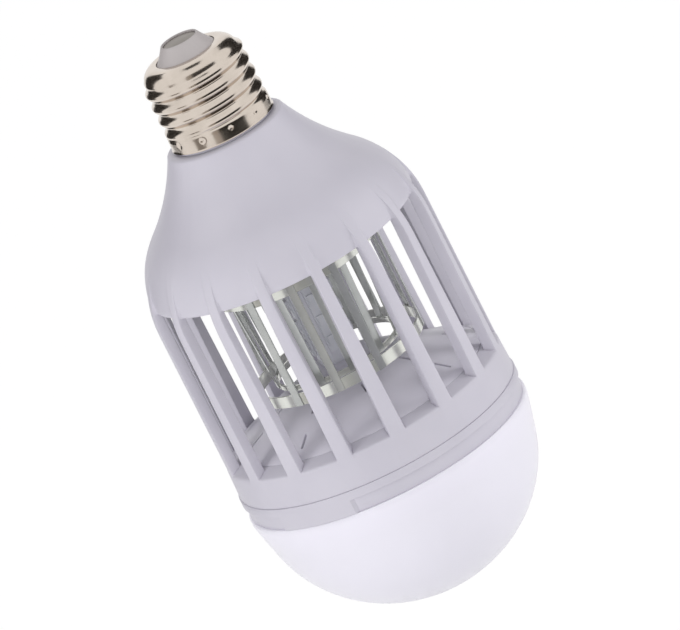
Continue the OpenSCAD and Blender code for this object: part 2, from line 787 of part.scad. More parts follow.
// Lamp ring: spigot, shelf, and the grooved outside with its two lands
module lamp_ring() {
    shelf_d = seat_d - shelf_t;
    color(plastic)
        difference() {
            union() {
                turned(flip([
                    [spigot_r - spigot_wall, spigot_d], [spigot_r, spigot_d],
                    [spigot_r, band_d], [ring_r, band_d], [ring_r, ring_d],
                    [ring_bore_r, ring_d], [ring_bore_r, seat_d], [shelf_r, seat_d],
                    [shelf_r, shelf_d],
                    [spigot_r - spigot_wall, shelf_d]
                ]));
                around(screw_count, lamp_screws_r, lamp_screw_turn)
                    rod(boss_r, seat_d - screw_len - through, seat_d);
            }
            for (side = [0, 180])
                rotate([0, 0, land_at + side + land_angle / 2])
                    rotate_extrude(angle = 180 - land_angle)
                        polygon(flip([
                            [groove_r, groove_d], [ring_r + through, groove_d],
                            [ring_r + through, ring_d + through], [groove_r, ring_d + through]
                        ]));
            around(screw_count, lamp_screws_r, lamp_screw_turn)
                rod(pilot_r, seat_d - screw_len, seat_d + through);
        }
}

module lamp_board() {
    color([0.9, 0.9, 0.88])
        difference() {
            rod(lamp_board_r, seat_d, lamp_face_d);
            rod(board_hole_r, seat_d - through, lamp_face_d + through);
            around(screw_count, lamp_screws_r, lamp_screw_turn)
                rod(screw_r + slip, seat_d - through, lamp_face_d + through);
        }
}

module white_emitters() {
    color([0.95, 0.88, 0.5]) {
        around(outer_white, outer_white_r)
            box([white_w, white_len], lamp_face_d, lamp_face_d + white_t);
        around(inner_white, inner_white_r)
            box([white_w, white_len], lamp_face_d, lamp_face_d + white_t);
    }
}

// Diffuser: a lip with a spigot that stands inside the lamp ring, and the dome
module diffuser() {
    spigot = ring_bore_r - slip;
    inner_r = dome_r - dome_wall;
    color(opal)
        turned(concat(
            flip([
                [spigot - dome_wall, lamp_face_d], [spigot, lamp_face_d], [spigot, ring_d],
                [lip_r, ring_d]
            ]),
            arc([dome_r, -dome_d], dome_step, 0, -75),
            [for (i = [1:2 * curve_steps]) let (a = 90 * i / (2 * curve_steps))
                [dome_r * cos(a), -dome_d - dome_h * sin(a)]],
            [for (i = [2 * curve_steps:-1:0]) let (a = 90 * i / (2 * curve_steps))
                [inner_r * cos(a), -dome_d - (dome_h - dome_wall) * sin(a)]],
            [[spigot - dome_wall, -ring_d]]
        ));
}

// Driver board and what is soldered to it
module driver_board() {
    color([0.2, 0.42, 0.26])
        difference() {
            rod(driver_r, driver_d - board_t, driver_d);
            around(screw_count, driver_screws_r, driver_screw_turn)
                rod(screw_r + slip, driver_d - board_t - through, driver_d + through);
        }
}

module bulk_capacitor() {
    color([0.15, 0.15, 0.2]) place(bulk_at) rod(bulk_r, driver_top_d - bulk_h, driver_top_d);
}

module transformer_core() {
    color([0.25, 0.24, 0.24])
        place(core_at)
            difference() {
                box([core_w, core_d], driver_top_d - core_h, driver_top_d);
                for (side = [-1, 1])
                    translate([side * (yoke_t + core_gap) / 2, 0, 0])
                        box([core_gap, core_d + through], driver_top_d - core_h + yoke_t,
                            driver_top_d - yoke_t);
            }
}

// The winding fills the two windows of the core and stands out of both faces
module transformer_coil() {
    top = driver_top_d - core_h + yoke_t + slip;
    bottom = driver_top_d - yoke_t - slip;
    color([0.85, 0.65, 0.2])
        place(core_at)
            difference() {
                union() {
                    box([2 * coil_r, core_d + 2 * slip], top, bottom);
                    for (side = [-1, 1])
                        translate([0, side * (core_d / 2 + slip), 0])
                            intersection() {
                                rod(coil_r, top, bottom);
                                box([2 * coil_r, 2 * coil_bulge], top, bottom);
                            }
                }
                box([yoke_t + 2 * slip, core_d], top - through, bottom + through);
            }
}

module film_capacitor() {
    color([0.75, 0.2, 0.15])
        place(film_at) box([film_t, film_len], driver_top_d - film_h, driver_top_d);
}

module fuse_resistor() {
    color([0.35, 0.6, 0.4])
        place(fuse_at)
            translate([0, 0, -driver_top_d + fuse_r])
                rotate([90, 0, 0]) cylinder(r = fuse_r, h = fuse_len, center = true);
}

module rectifier() {
    color([0.12, 0.12, 0.12])
        place(rectifier_at)
            box([rectifier_len, rectifier_w], driver_top_d - rectifier_h, driver_top_d);
}

module driver_chip() {
    color([0.12, 0.12, 0.12])
        place(chip_at) box([chip_len, chip_w], driver_top_d - chip_h, driver_top_d);
}

module disc_capacitors() {
    color([0.2, 0.35, 0.65])
        for (at = disc_at)
            place(at)
                translate([0, 0, -driver_top_d + disc_r])
                    rotate([90, 0, 0]) cylinder(r = disc_r, h = disc_t, center = true);
}

module high_voltage_diodes() {
    color([0.15, 0.15, 0.15])
        for (at = diode_at)
            place(at)
                translate([0, 0, -driver_top_d + diode_r])
                    rotate([90, 0, 0]) cylinder(r = diode_r, h = diode_len, center = true);
}

// Wires
module live_lead() {
    color([0.75, 0.15, 0.12]) rod(wire_r, contact_t + stem_h, driver_top_d);
}

module neutral_lead() {
    color([0.1, 0.1, 0.12])
        around(1, neck_bore_r - wire_r - 2 * slip, neutral_turn)
            rod(wire_r, neck_d - wire_r, driver_top_d);
}

module grid_leads() {
    color([0.75, 0.15, 0.12]) {
        around(1, outer_ring_r - ring_wall / 2) rod(wire_r, driver_d, chamber_d);
        around(1, inner_top_r - ring_wall / 2, 180) rod(wire_r, driver_d, chamber_d);
    }
}

module lamp_leads() {
    color([0.85, 0.85, 0.85])
        around(2, lamp_lead_r) rod(wire_r, driver_d, seat_d);
}

// Pan head screws, drawn with the head's seat at depth and the shank towards up
module screw(seat, up) {
    color([0.7, 0.7, 0.72])
        translate([0, 0, -seat])
            mirror([0, 0, up ? 0 : 1]) {
                translate([0, 0, -fuse]) cylinder(r = screw_r, h = screw_len + fuse);
                translate([0, 0, -head_h]) cylinder(r = head_r, h = head_h);
            }
}

module ceiling_screws() {
    around(screw_count, ceiling_screws_r, ceiling_screw_turn) screw(chamber_d, true);
}

module driver_screws() {
    around(screw_count, driver_screws_r, driver_screw_turn) screw(driver_top_d, false);
}

module lamp_screws() {
    around(screw_count, lamp_screws_r, lamp_screw_turn) screw(lamp_face_d, true);
}

cap_shell();
cap_insulator();
end_contact();
cage_housing();
chamber_ceiling();
chamber_floor();
outer_grid();
inner_grid();
uv_post();
post_nuts();
uv_boards();
uv_emitters();
lamp_ring();
lamp_board();
white_emitters();
diffuser();
driver_board();
bulk_capacitor();
transformer_core();
transformer_coil();
film_capacitor();
fuse_resistor();
rectifier();
driver_chip();
disc_capacitors();
high_voltage_diodes();
live_lead();
neutral_lead();
grid_leads();
lamp_leads();
ceiling_screws();
driver_screws();
lamp_screws();
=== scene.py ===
import math

import bmesh
import bpy
from mathutils import Matrix, Quaternion, Vector


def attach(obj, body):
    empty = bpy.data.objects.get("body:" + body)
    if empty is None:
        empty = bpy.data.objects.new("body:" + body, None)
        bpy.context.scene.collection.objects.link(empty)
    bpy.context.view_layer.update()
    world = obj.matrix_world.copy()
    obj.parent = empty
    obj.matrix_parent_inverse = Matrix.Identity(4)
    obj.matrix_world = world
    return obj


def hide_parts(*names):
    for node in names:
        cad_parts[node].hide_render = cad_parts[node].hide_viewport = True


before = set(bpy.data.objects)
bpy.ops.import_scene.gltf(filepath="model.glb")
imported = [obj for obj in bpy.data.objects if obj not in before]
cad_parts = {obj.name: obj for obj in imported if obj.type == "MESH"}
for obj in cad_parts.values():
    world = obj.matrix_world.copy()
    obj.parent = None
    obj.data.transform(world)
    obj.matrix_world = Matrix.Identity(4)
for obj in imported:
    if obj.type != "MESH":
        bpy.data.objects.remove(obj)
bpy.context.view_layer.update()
mm = 0.001  # every size below is in millimetres, Blender's are in metres
front = math.radians(-90)  # the first slat and the first dent look along -Y
print("frame loaded,", len(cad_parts), "nodes")


# Helpers for modelling

def selectOnly(piece):
    bpy.ops.object.select_all(action="DESELECT")
    piece.select_set(True)
    bpy.context.view_layer.objects.active = piece


def applyPlace(piece):
    selectOnly(piece)
    bpy.ops.object.transform_apply(location=True, rotation=True, scale=True)


def applyModifiers(piece):
    selectOnly(piece)
    for modifier in list(piece.modifiers):
        bpy.ops.object.modifier_apply(modifier=modifier.name)


def cleanUp(piece, merge=0.004):  # closes seams and poles, then faces outwards
    selectOnly(piece)
    bpy.ops.object.mode_set(mode="EDIT")
    bpy.ops.mesh.select_all(action="SELECT")
    bpy.ops.mesh.remove_doubles(threshold=merge * mm)
    bpy.ops.mesh.normals_make_consistent(inside=False)
    bpy.ops.object.mode_set(mode="OBJECT")


def smooth(piece, angle=32, evenFaces=False):
    selectOnly(piece)
    bpy.ops.object.shade_smooth_by_angle(angle=math.radians(angle))
    if evenFaces:  # flat faces stay flat beside their rounded edges
        even = piece.modifiers.new("evenFaces", "WEIGHTED_NORMAL")
        even.keep_sharp = True
        applyModifiers(piece)


def roundEdges(piece, width, segments=2, angle=40):
    bevel = piece.modifiers.new("edges", "BEVEL")
    bevel.width = width * mm
    bevel.segments = segments
    bevel.limit_method = "ANGLE"
    bevel.angle_limit = math.radians(angle)
    bevel.use_clamp_overlap = True
    applyModifiers(piece)


def joinPieces(pieces, name):
    bpy.ops.object.select_all(action="DESELECT")
    for piece in pieces:
        piece.select_set(True)
    bpy.context.view_layer.objects.active = pieces[0]
    if len(pieces) > 1:
        bpy.ops.object.join()
    pieces[0].name = name
    return pieces[0]


def copyRound(piece, count, turn=0):  # copies of the piece round the axis, with their own meshes
    copies = [piece]
    for i in range(1, count):
        selectOnly(piece)
        bpy.ops.object.duplicate(linked=False)
        copy = bpy.context.object
        copy.data.transform(Matrix.Rotation(i * 2 * math.pi / count, 4, "Z"))
        copies.append(copy)
    for copy in copies:
        copy.data.transform(Matrix.Rotation(turn, 4, "Z"))
    return copies


def arc(centre, radius, start, end, steps, drop=None):
    drop = radius if drop is None else drop
    points = []
    for i in range(steps + 1):
        a = math.radians(start + (end - start) * i / steps)
        points.append((centre[0] + radius * math.cos(a), centre[1] - drop * math.sin(a)))
    return points


def turn(name, outline, sides):  # a ring is extruded and scaled from point to point of the outline
    bpy.ops.object.select_all(action="DESELECT")
    radius, depth = outline[0]
    bpy.ops.mesh.primitive_circle_add(
        vertices=sides, radius=radius * mm, location=(0, 0, -depth * mm))
    piece = bpy.context.object
    piece.name = name
    applyPlace(piece)
    bpy.ops.object.mode_set(mode="EDIT")
    bpy.ops.mesh.select_all(action="SELECT")
    for nextRadius, nextDepth in outline[1:]:
        bpy.ops.mesh.extrude_region_move(
            TRANSFORM_OT_translate={"value": (0, 0, (depth - nextDepth) * mm)})
        grow = nextRadius / radius
        bpy.ops.transform.resize(value=(grow, grow, 1), center_override=(0, 0, -nextDepth * mm))
        radius, depth = nextRadius, nextDepth
    bpy.ops.object.mode_set(mode="OBJECT")
    return piece


def ringBlank(name, columns, rows):  # a torus whose rows and columns are moved to their places
    bpy.ops.object.select_all(action="DESELECT")
    bpy.ops.mesh.primitive_torus_add(
        major_segments=columns, minor_segments=rows, major_radius=1, minor_radius=0.25)
    piece = bpy.context.object
    piece.name = name
    cells = []
    for vertex in piece.data.vertices:
        x, y, z = vertex.co
        column = round(math.atan2(y, x) / (2 * math.pi) * columns) % columns
        row = round(math.atan2(z, math.hypot(x, y) - 1) / (2 * math.pi) * rows) % rows
        cells.append((row, column))
    return piece, cells


# Shader groups that several finishes share

def newGroup(name, inputs, outputs):
    group = bpy.data.node_groups.new(name, "ShaderNodeTree")
    for label, kind, value in inputs:
        socket = group.interface.new_socket(label, in_out="INPUT", socket_type=kind)
        socket.default_value = value
    for label, kind in outputs:
        group.interface.new_socket(label, in_out="OUTPUT", socket_type=kind)
    return group, group.nodes.new("NodeGroupInput"), group.nodes.new("NodeGroupOutput")


def makeMouldGroup():  # moulded plastic: slow tone drift, fine skin and a little roughness change
    group, given, result = newGroup(
        "mouldedSkin",
        [("Light", "NodeSocketColor", (0.8, 0.8, 0.8, 1)),
         ("Dark", "NodeSocketColor", (0.7, 0.7, 0.7, 1)),
         ("Roughness", "NodeSocketFloat", 0.4),
         ("Skin Scale", "NodeSocketFloat", 2500.0)],
        [("Color", "NodeSocketColor"), ("Roughness", "NodeSocketFloat"),
         ("Height", "NodeSocketFloat")])
    nodes, links = group.nodes, group.links
    place = nodes.new("ShaderNodeTexCoord")
    drift = nodes.new("ShaderNodeTexNoise")
    drift.inputs["Scale"].default_value = 55
    drift.inputs["Detail"].default_value = 2
    links.new(place.outputs["Object"], drift.inputs["Vector"])
    soft = nodes.new("ShaderNodeMapRange")  # the drift levels off softly at both ends
    soft.interpolation_type = "SMOOTHSTEP"
    soft.inputs["From Min"].default_value = 0.2
    soft.inputs["From Max"].default_value = 0.8
    links.new(drift.outputs["Fac"], soft.inputs["Value"])
    mix = nodes.new("ShaderNodeMix")
    mix.data_type = "RGBA"
    links.new(soft.outputs["Result"], mix.inputs["Factor"])
    links.new(given.outputs["Dark"], mix.inputs["A"])
    links.new(given.outputs["Light"], mix.inputs["B"])
    links.new(mix.outputs["Result"], result.inputs["Color"])
    skin = nodes.new("ShaderNodeTexNoise")
    skin.inputs["Detail"].default_value = 3
    links.new(place.outputs["Object"], skin.inputs["Vector"])
    links.new(given.outputs["Skin Scale"], skin.inputs["Scale"])
    links.new(skin.outputs["Fac"], result.inputs["Height"])
    vary = nodes.new("ShaderNodeMapRange")
    vary.inputs["To Min"].default_value = -0.02
    vary.inputs["To Max"].default_value = 0.02
    links.new(soft.outputs["Result"], vary.inputs["Value"])
    total = nodes.new("ShaderNodeMath")
    links.new(vary.outputs["Result"], total.inputs[0])
    links.new(given.outputs["Roughness"], total.inputs[1])
    links.new(total.outputs["Value"], result.inputs["Roughness"])
    return group


def makeMetalGroup():  # sheet metal: faint rolling streaks, cloudy plating and small scuffs
    group, given, result = newGroup(
        "sheetMetal",
        [("Bright", "NodeSocketColor", (0.8, 0.8, 0.8, 1)),
         ("Dull", "NodeSocketColor", (0.6, 0.6, 0.6, 1)),
         ("Roughness", "NodeSocketFloat", 0.15),
         ("Streaks", "NodeSocketFloat", 0.05)],
        [("Color", "NodeSocketColor"), ("Roughness", "NodeSocketFloat"),
         ("Height", "NodeSocketFloat")])
    nodes, links = group.nodes, group.links
    place = nodes.new("ShaderNodeTexCoord")
    stretch = nodes.new("ShaderNodeMapping")
    stretch.inputs["Scale"].default_value = (300, 300, 2600)
    links.new(place.outputs["Object"], stretch.inputs["Vector"])
    streak = nodes.new("ShaderNodeTexNoise")
    streak.inputs["Scale"].default_value = 1
    links.new(stretch.outputs["Vector"], streak.inputs["Vector"])
    cloud = nodes.new("ShaderNodeTexNoise")
    cloud.inputs["Scale"].default_value = 220
    cloud.inputs["Detail"].default_value = 3
    links.new(place.outputs["Object"], cloud.inputs["Vector"])
    mix = nodes.new("ShaderNodeMix")
    mix.data_type = "RGBA"
    links.new(cloud.outputs["Fac"], mix.inputs["Factor"])
    links.new(given.outputs["Bright"], mix.inputs["A"])
    links.new(given.outputs["Dull"], mix.inputs["B"])
    links.new(mix.outputs["Result"], result.inputs["Color"])
    centred = nodes.new("ShaderNodeMath")
    centred.operation = "SUBTRACT"
    centred.inputs[1].default_value = 0.5
    links.new(cloud.outputs["Fac"], centred.inputs[0])
    scaled = nodes.new("ShaderNodeMath")
    scaled.operation = "MULTIPLY_ADD"
    links.new(centred.outputs["Value"], scaled.inputs[0])
    links.new(given.outputs["Streaks"], scaled.inputs[1])
    links.new(given.outputs["Roughness"], scaled.inputs[2])
    links.new(scaled.outputs["Value"], result.inputs["Roughness"])
    links.new(streak.outputs["Fac"], result.inputs["Height"])
    return group


mouldGroup = makeMouldGroup()
metalGroup = makeMetalGroup()


def linear(rgb):  # a colour as it looks on screen, 0 to 255, as Blender's linear values
    values = []
    for channel in rgb:
        c = channel / 255
        values.append(c / 12.92 if c <= 0.04045 else ((c + 0.055) / 1.055) ** 2.4)
    return (*values, 1)


def newMaterial(name):
    material = bpy.data.materials.new(name)
    material.use_nodes = True
    shader = material.node_tree.nodes["Principled BSDF"]
    return material, shader, material.node_tree.nodes, material.node_tree.links


def addBump(nodes, links, shader, height, depth):
    bump = nodes.new("ShaderNodeBump")
    bump.inputs["Strength"].default_value = 1
    bump.inputs["Distance"].default_value = depth * mm
    links.new(height, bump.inputs["Height"])
    links.new(bump.outputs["Normal"], shader.inputs["Normal"])


def plastic(name, light, dark, roughness, grain=0.002, skinScale=2500):
    material, shader, nodes, links = newMaterial(name)
    skin = nodes.new("ShaderNodeGroup")
    skin.node_tree = mouldGroup
    skin.inputs["Light"].default_value = linear(light)
    skin.inputs["Dark"].default_value = linear(dark)
    skin.inputs["Roughness"].default_value = roughness
    skin.inputs["Skin Scale"].default_value = skinScale
    links.new(skin.outputs["Color"], shader.inputs["Base Color"])
    links.new(skin.outputs["Roughness"], shader.inputs["Roughness"])
    addBump(nodes, links, shader, skin.outputs["Height"], grain)
    return material


def metal(name, bright, dull, roughness, streaks=0.05, grain=0.0005, metallic=1.0):
    material, shader, nodes, links = newMaterial(name)
    shader.inputs["Metallic"].default_value = metallic
    sheet = nodes.new("ShaderNodeGroup")
    sheet.node_tree = metalGroup
    sheet.inputs["Bright"].default_value = linear(bright)
    sheet.inputs["Dull"].default_value = linear(dull)
    sheet.inputs["Roughness"].default_value = roughness
    sheet.inputs["Streaks"].default_value = streaks
    links.new(sheet.outputs["Color"], shader.inputs["Base Color"])
    links.new(sheet.outputs["Roughness"], shader.inputs["Roughness"])
    addBump(nodes, links, shader, sheet.outputs["Height"], grain)
    return material


def opal(name, light, dark):
    material = plastic(name, light, dark, 0.3, grain=0.0008)
    shader = material.node_tree.nodes["Principled BSDF"]
    shader.inputs["Subsurface Weight"].default_value = 0.35
    shader.inputs["Subsurface Radius"].default_value = (1, 0.95, 1)
    shader.inputs["Subsurface Scale"].default_value = 0.004
    return material


finishes = {
    "cage_plastic": plastic("cagePlastic", (200, 197, 207), (194, 191, 202), 0.42),
    "diffuser_opal": opal("diffuserOpal", (233, 230, 242), (232, 229, 241)),
    "cap_nickel": metal("capNickel", (224, 213, 202), (200, 189, 178), 0.17, streaks=0.1),
    "insulator_grey": plastic("insulatorGrey", (186, 180, 180), (176, 169, 169), 0.45),
    # the end contact's colour is darkened for the shade it sits in down the insulator's throat: painted shade
    "contact_metal": metal("contactMetalPaintedShade", (134, 126, 119), (112, 105, 98), 0.3),
    "grid_metal": metal("gridMetal", (234, 235, 228), (222, 224, 216), 0.18, metallic=0.65),
    "post_plastic": plastic("postPlastic", (206, 206, 214), (196, 196, 205), 0.4),
    "strip_board": plastic("stripBoard", (212, 213, 220), (203, 204, 212), 0.35),
    "emitter_face": plastic("emitterFace", (214, 215, 222), (205, 206, 214), 0.35),
    "lamp_board_metal": plastic("lampBoardMetal", (148, 149, 150), (134, 135, 136), 0.4),
    "green_board": plastic("greenBoard", (52, 108, 66), (42, 92, 56), 0.35),
    "capacitor_sleeve": plastic("capacitorSleeve", (40, 40, 52), (30, 30, 40), 0.3),
    "ferrite": plastic("ferrite", (66, 64, 64), (50, 48, 48), 0.6, grain=0.01),
    "winding_tape": plastic("windingTape", (214, 168, 62), (198, 150, 50), 0.35),
    "film_red": plastic("filmRed", (178, 52, 40), (160, 42, 32), 0.4),
    "resistor_green": plastic("resistorGreen", (96, 150, 104), (80, 132, 90), 0.45),
    "black_epoxy": plastic("blackEpoxy", (36, 36, 38), (26, 26, 28), 0.45),
    "disc_blue": plastic("discBlue", (54, 92, 164), (44, 78, 146), 0.4),
    "wire_red": plastic("wireRed", (184, 40, 34), (166, 32, 28), 0.35),
    "wire_black": plastic("wireBlack", (30, 30, 34), (22, 22, 26), 0.35),
    "wire_white": plastic("wireWhite", (226, 226, 226), (214, 214, 214), 0.35),
    "screw_steel": metal("screwSteel", (188, 188, 190), (160, 160, 164), 0.28),
}
# the chamber floor is the cage plastic made lighter to make up for the shade inside the chamber: painted light
floorPlasticPaintedLight = plastic("floorPlasticPaintedLight", (213, 210, 220), (207, 204, 215), 0.42)
barMetal = metal("barMetal", (204, 206, 204), (186, 189, 186), 0.22, metallic=0.7)
print("finishes made")


def finishPiece(piece, slot, *nodes):
    if not piece.data.materials:
        piece.data.materials.append(finishes[slot])
    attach(piece, "root")
    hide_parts(*nodes)


# Cap: a rolled shell with a round right-hand thread and a skirt crimped by dents
cap = {
    "top": 3.75, "rim": 24.55, "skirtTop": 21.3, "hole": 7.85, "root": 12.13, "crest": 13.2,
    "shoulder": 3.2, "pitch": 3.63, "firstCrest": 7.37, "rise": (5.95, 7.55),
    "fade": (19.6, 21.1), "flare": 0.2, "flareHeight": 0.6, "wall": 0.3, "dents": 11,
    "dentDepth": 22.05, "dentRadius": 1.0, "dentSink": 0.34, "sides": 352,
}


def blendIn(edge, x):
    t = min(1, max(0, (x - edge[0]) / (edge[1] - edge[0])))
    return t * t * (3 - 2 * t)


def threadLift(depth, angle):
    wave = 0.5 + 0.5 * math.cos(2 * math.pi * (depth - cap["firstCrest"]) / cap["pitch"] + angle)
    rise = wave * blendIn(cap["rise"], depth)
    return (cap["crest"] - cap["root"]) * (rise + (1 - rise) * blendIn(cap["fade"], depth))


def makeCap():
    shoulderAt = (cap["root"] - cap["shoulder"], cap["top"] + cap["shoulder"])
    outline = [(cap["hole"], cap["top"]), (8.4, cap["top"])]
    outline += arc(shoulderAt, cap["shoulder"], 90, 0, 10)
    rows = 60
    for i in range(1, rows + 1):
        outline.append((cap["root"], shoulderAt[1] + (cap["skirtTop"] - shoulderAt[1]) * i / rows))
    rows = 16
    for i in range(1, rows + 1):
        depth = cap["skirtTop"] + (cap["rim"] - cap["skirtTop"]) * i / rows
        flared = max(0, depth - cap["rim"] + cap["flareHeight"]) / cap["flareHeight"]
        outline.append((cap["root"] + 0.05 + cap["flare"] * flared ** 2, depth))
    shell = turn("capShell", outline, cap["sides"])
    sink = 0.5 * math.pi / cap["dentRadius"]
    for vertex in shell.data.vertices:
        x, y, z = vertex.co / mm
        angle, radius = math.atan2(y, x), math.hypot(x, y)
        if radius > shoulderAt[0]:
            lifted = radius + threadLift(-z, angle)
            step = 2 * math.pi / cap["dents"]
            nearest = front + round((angle - front) / step) * step
            away = math.hypot((angle - nearest) * lifted, -z - cap["dentDepth"])
            if away < cap["dentRadius"]:
                lifted -= cap["dentSink"] * math.cos(away * sink) ** 1.5
            elif away < 1.5 * cap["dentRadius"]:  # the punch pulls the sheet in round the dent
                lifted -= 0.02 * math.cos((away - cap["dentRadius"]) * math.pi)
            vertex.co = Vector((math.cos(angle) * lifted, math.sin(angle) * lifted, z)) * mm
    wall = shell.modifiers.new("wall", "SOLIDIFY")
    wall.thickness = cap["wall"] * mm
    wall.offset = -1
    cleanUp(shell)
    applyModifiers(shell)
    smooth(shell, 50)
    return shell


# Insulator: the moulded cone and its throat, with a softened rim round the contact
insulator = {
    "tip": -0.25, "base": 3.75, "topRadius": 4.9, "baseRadius": 7.75, "seat": 4.45,
    "contactFoot": 0.6, "stem": 0.95, "edge": 0.16, "sides": 160,
}


def makeInsulator():
    s = insulator
    outline = [
        (s["stem"], s["contactFoot"]), (s["seat"], s["contactFoot"]), (s["seat"], s["tip"] + s["edge"]),
        (s["seat"] + 0.05, s["tip"] + 0.05), (s["seat"] + s["edge"], s["tip"]),
        (s["topRadius"] - s["edge"], s["tip"]), (s["topRadius"] - 0.03, s["tip"] + 0.05),
        (s["topRadius"] + 0.08, s["tip"] + 0.2),
    ]
    rows = 10
    for i in range(1, rows + 1):  # the cone's side is a touch hollow
        t = i / rows
        radius = s["topRadius"] + 0.08 + (s["baseRadius"] - s["topRadius"] - 0.08) * t
        outline.append((radius - 0.12 * math.sin(math.pi * t), s["tip"] + 0.2 + (s["base"] - s["tip"] - 0.2) * t))
    outline += [
        (7.75, 4.05), (8.75, 4.05), (8.75, 5.35), (11.13, 5.35), (11.13, 8.55), (10.23, 8.55),
        (10.23, 6.65), (6.45, 5.35), (3.8, 1.9), (0.95, 1.9), (s["stem"], s["contactFoot"]),
    ]
    cone = turn("capInsulator", outline, s["sides"])
    cleanUp(cone)
    smooth(cone, 35)
    return cone


# End contact: a stamped button with a slightly domed face and a stem
contact = {"radius": 4.35, "thick": 0.6, "crown": 0.12, "stem": 0.9, "stemEnd": 3.2, "sides": 96}


def makeContact():
    s = contact
    outline = [(0.01, 0)]
    for i in range(1, 9):
        t = i / 8
        outline.append((s["radius"] * 0.95 * t, s["crown"] * t * t))
    outline += [
        (s["radius"], s["crown"] + 0.12), (s["radius"], s["thick"]), (s["stem"], s["thick"]),
        (s["stem"], s["stemEnd"] - 0.1), (s["stem"] - 0.1, s["stemEnd"]), (0.01, s["stemEnd"]),
    ]
    button = turn("endContact", outline, s["sides"])
    cleanUp(button, merge=0.02)
    smooth(button, 35)
    return button


# Cage housing: bell, sixteen slats and band, one moulding. The gap rows run between the slats
housing = {
    "slats": 16, "bodyRadius": 36.9, "wall": 2.0, "collarTop": 25.1, "collarRadius": 13.8,
    "collarWidth": 1.8, "collarHeight": 0.85, "upright": 63.25, "bellRound": 27.4,
    "bellAngle": 47.0, "ridgeAngle": 35.7, "windowTop": 57.95, "slatFoot": 103.01,
    "topWidth": 2.9, "footWidth": 4.3, "slatDepth": 2.8, "edge": 0.5, "fillet": 0.35,
    "bandBottom": 110.95, "bandRadius": 37.15, "ledgeInner": 33.0, "ledgeTop": 101.08,
    "ledgeSlope": 0.44, "ledgeUnder": 103.28, "bandBore": 34.9, "neckRadius": 11.73,
    "neckBore": 10.23, "neckTop": 8.55, "neckFoot": 12.75, "gapColumns": 7,
}


def bellCurves():
    s = housing
    bell = (s["bodyRadius"] - s["bellRound"], s["upright"])
    a = math.radians(s["bellAngle"])
    join = (bell[0] + s["bellRound"] * math.cos(a), bell[1] - s["bellRound"] * math.sin(a))
    start = (s["collarRadius"] + s["collarWidth"], s["collarTop"] + s["collarHeight"])
    across, down = join[0] - start[0], join[1] - start[1]
    bend = s["bellAngle"] - math.degrees(math.atan2(across, down))
    waistRound = math.hypot(across, down) / (2 * math.sin(math.radians(bend)))
    waist = (join[0] + waistRound * math.cos(a), join[1] - waistRound * math.sin(a))
    b = math.radians(s["ridgeAngle"])
    ridge = (bell[0] + s["bellRound"] * math.cos(b), bell[1] - s["bellRound"] * math.sin(b))
    shellRound = (s["windowTop"] - ridge[1]) / math.sin(b)
    shell = (ridge[0] - shellRound * math.cos(b), s["windowTop"])
    return {"bell": bell, "waist": waist, "waistRound": waistRound, "bend": bend,
            "shell": shell, "shellRound": shellRound, "ridge": ridge}


